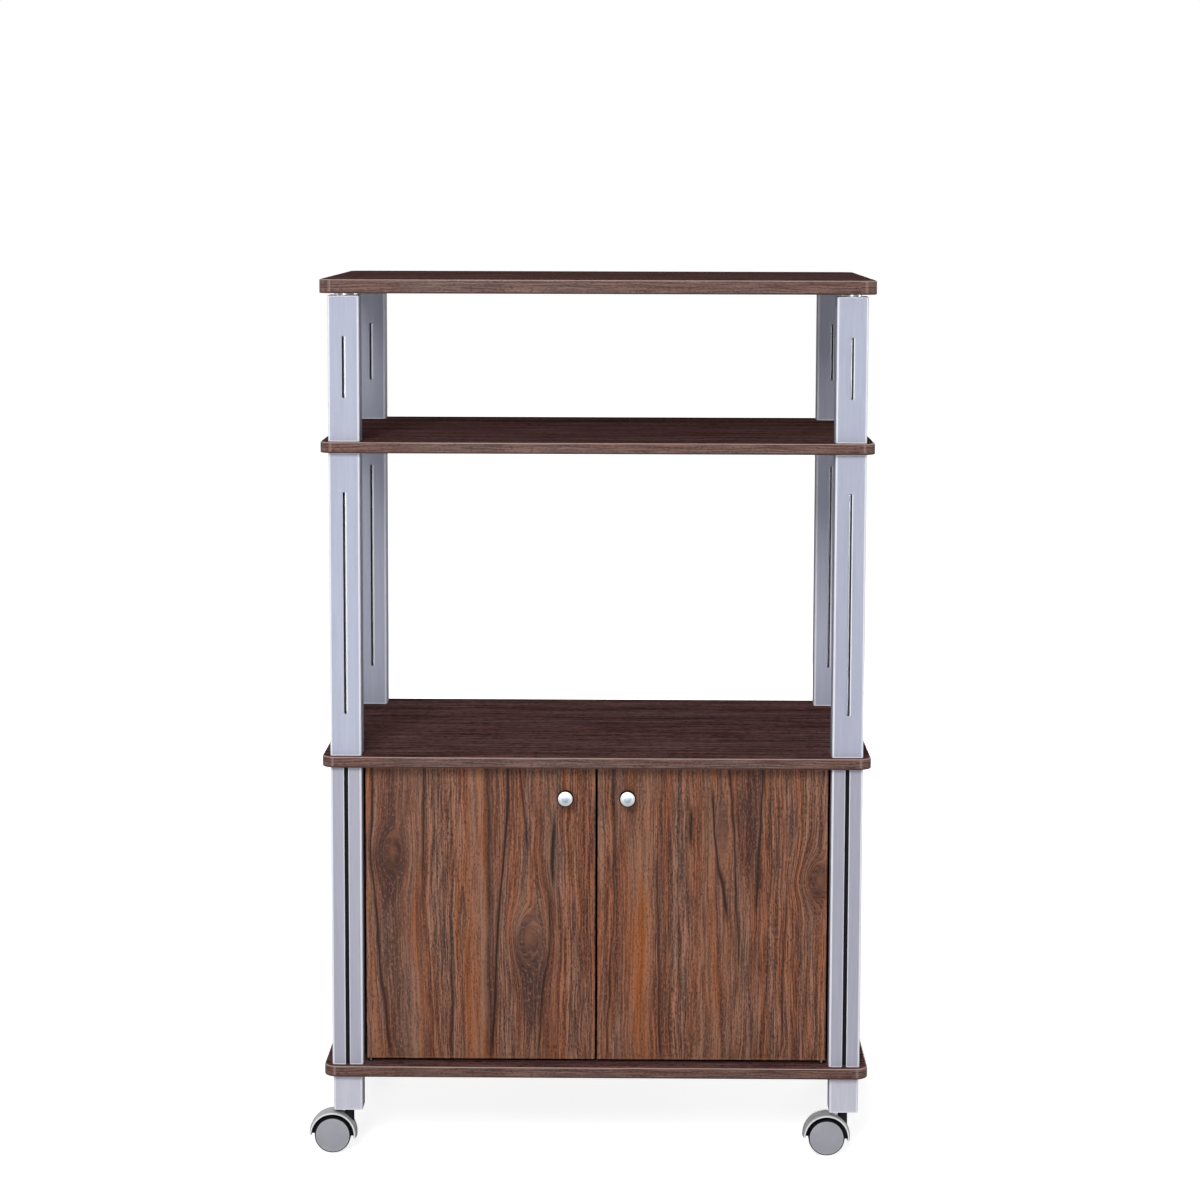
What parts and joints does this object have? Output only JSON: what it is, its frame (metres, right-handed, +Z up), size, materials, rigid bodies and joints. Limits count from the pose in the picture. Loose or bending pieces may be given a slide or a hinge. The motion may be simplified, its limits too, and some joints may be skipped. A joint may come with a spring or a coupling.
{
  "type": "microwave cart",
  "caption": "Rolling kitchen cart: wood-look boards on square steel posts, open bays for an oven and dishes above a cabinet with hinged doors, on hooded swivel casters.",
  "frame": {"origin": "on the floor under the middle of the cart", "axes": "+X to the right seen from the front, +Y from the front to the back, +Z up"},
  "size_m": [0.637, 0.4, 0.967],
  "materials": {
    "walnut_board": "satin walnut-look laminate with a matching edge band",
    "walnut_door": "satin walnut-look laminate, grain upright",
    "powder_coat": "fine satin silver powder coat",
    "satin_nickel": "satin nickel plating",
    "zinc_steel": "bright zinc plating",
    "black_plastic": "moulded, matt",
    "white_plastic": "moulded, matt",
    "magnet": "dull dark ceramic",
    "caster_plastic": "moulded grey nylon, satin"
  },
  "bodies": {
    "root": {"top_board": "walnut_board", "upper_shelf": "walnut_board", "cabinet_top": "walnut_board", "base_board": "walnut_board", "side_panel_left": "walnut_board", "side_panel_right": "walnut_board", "back_panel": "walnut_board", "short_post_front_left": "powder_coat", "middle_post_front_left": "powder_coat", "cabinet_post_front_left": "powder_coat", "foot_front_left": "powder_coat", "short_post_front_right": "powder_coat", "middle_post_front_right": "powder_coat", "cabinet_post_front_right": "powder_coat", "foot_front_right": "powder_coat", "short_post_rear_left": "powder_coat", "middle_post_rear_left": "powder_coat", "cabinet_post_rear_left": "powder_coat", "foot_rear_left": "powder_coat", "short_post_rear_right": "powder_coat", "middle_post_rear_right": "powder_coat", "cabinet_post_rear_right": "powder_coat", "foot_rear_right": "powder_coat", "tie_rods": "zinc_steel", "flange_nuts": "zinc_steel", "top_inserts": "zinc_steel", "catch_screws": "zinc_steel", "caster_stems": "zinc_steel", "post_plugs": "black_plastic", "cabinet_post_plugs": "black_plastic", "foot_sockets": "black_plastic", "pivot_bushes": "black_plastic", "catch_housing": "white_plastic", "catch_magnets": "magnet"},
    "door_left_leaf": {"door_left": "walnut_door", "hinge_plates_left": "zinc_steel", "knob_left": "satin_nickel", "strike_plate_left": "zinc_steel", "door_screws_left": "zinc_steel"},
    "door_right_leaf": {"door_right": "walnut_door", "hinge_plates_right": "zinc_steel", "knob_right": "satin_nickel", "strike_plate_right": "zinc_steel", "door_screws_right": "zinc_steel"},
    "caster_front_left": {"caster_hood_front_left": "caster_plastic", "caster_axle_front_left": "zinc_steel"},
    "wheel_front_left_outer": {"wheel_front_left_outer": "caster_plastic"},
    "wheel_front_left_inner": {"wheel_front_left_inner": "caster_plastic"},
    "caster_front_right": {"caster_hood_front_right": "caster_plastic", "caster_axle_front_right": "zinc_steel"},
    "wheel_front_right_outer": {"wheel_front_right_outer": "caster_plastic"},
    "wheel_front_right_inner": {"wheel_front_right_inner": "caster_plastic"},
    "caster_rear_left": {"caster_hood_rear_left": "caster_plastic", "caster_axle_rear_left": "zinc_steel"},
    "wheel_rear_left_outer": {"wheel_rear_left_outer": "caster_plastic"},
    "wheel_rear_left_inner": {"wheel_rear_left_inner": "caster_plastic"},
    "caster_rear_right": {"caster_hood_rear_right": "caster_plastic", "caster_axle_rear_right": "zinc_steel"},
    "wheel_rear_right_outer": {"wheel_rear_right_outer": "caster_plastic"},
    "wheel_rear_right_inner": {"wheel_rear_right_inner": "caster_plastic"}
  },
  "joints": [
    {"name": "door_left_hinge", "type": "hinge", "parent": "root", "child": "door_left_leaf", "pos_m": [-0.25, -0.174, 0.26975], "axis": [0, 0, -1], "range_deg": [0, 95]},
    {"name": "door_right_hinge", "type": "hinge", "parent": "root", "child": "door_right_leaf", "pos_m": [0.25, -0.174, 0.26975], "axis": [0, 0, 1], "range_deg": [0, 95]},
    {"name": "caster_front_left_swivel", "type": "hinge", "parent": "root", "child": "caster_front_left", "pos_m": [-0.274, -0.175, 0.04], "axis": [0, 0, 1], "continuous": true},
    {"name": "wheel_front_left_outer_spin", "type": "hinge", "parent": "caster_front_left", "child": "wheel_front_left_outer", "pos_m": [-0.292, -0.18405, 0.02], "axis": [0, 1, 0], "continuous": true},
    {"name": "wheel_front_left_inner_spin", "type": "hinge", "parent": "caster_front_left", "child": "wheel_front_left_inner", "pos_m": [-0.292, -0.16595, 0.02], "axis": [0, 1, 0], "continuous": true},
    {"name": "caster_front_right_swivel", "type": "hinge", "parent": "root", "child": "caster_front_right", "pos_m": [0.274, -0.175, 0.04], "axis": [0, 0, 1], "continuous": true},
    {"name": "wheel_front_right_outer_spin", "type": "hinge", "parent": "caster_front_right", "child": "wheel_front_right_outer", "pos_m": [0.256, -0.18405, 0.02], "axis": [0, 1, 0], "continuous": true},
    {"name": "wheel_front_right_inner_spin", "type": "hinge", "parent": "caster_front_right", "child": "wheel_front_right_inner", "pos_m": [0.256, -0.16595, 0.02], "axis": [0, 1, 0], "continuous": true},
    {"name": "caster_rear_left_swivel", "type": "hinge", "parent": "root", "child": "caster_rear_left", "pos_m": [-0.274, 0.175, 0.04], "axis": [0, 0, 1], "continuous": true},
    {"name": "wheel_rear_left_outer_spin", "type": "hinge", "parent": "caster_rear_left", "child": "wheel_rear_left_outer", "pos_m": [-0.256, 0.18405, 0.02], "axis": [0, 1, 0], "continuous": true},
    {"name": "wheel_rear_left_inner_spin", "type": "hinge", "parent": "caster_rear_left", "child": "wheel_rear_left_inner", "pos_m": [-0.256, 0.16595, 0.02], "axis": [0, 1, 0], "continuous": true},
    {"name": "caster_rear_right_swivel", "type": "hinge", "parent": "root", "child": "caster_rear_right", "pos_m": [0.274, 0.175, 0.04], "axis": [0, 0, 1], "continuous": true},
    {"name": "wheel_rear_right_outer_spin", "type": "hinge", "parent": "caster_rear_right", "child": "wheel_rear_right_outer", "pos_m": [0.292, 0.18405, 0.02], "axis": [0, 1, 0], "continuous": true},
    {"name": "wheel_rear_right_inner_spin", "type": "hinge", "parent": "caster_rear_right", "child": "wheel_rear_right_inner", "pos_m": [0.292, 0.16595, 0.02], "axis": [0, 1, 0], "continuous": true}
  ]
}
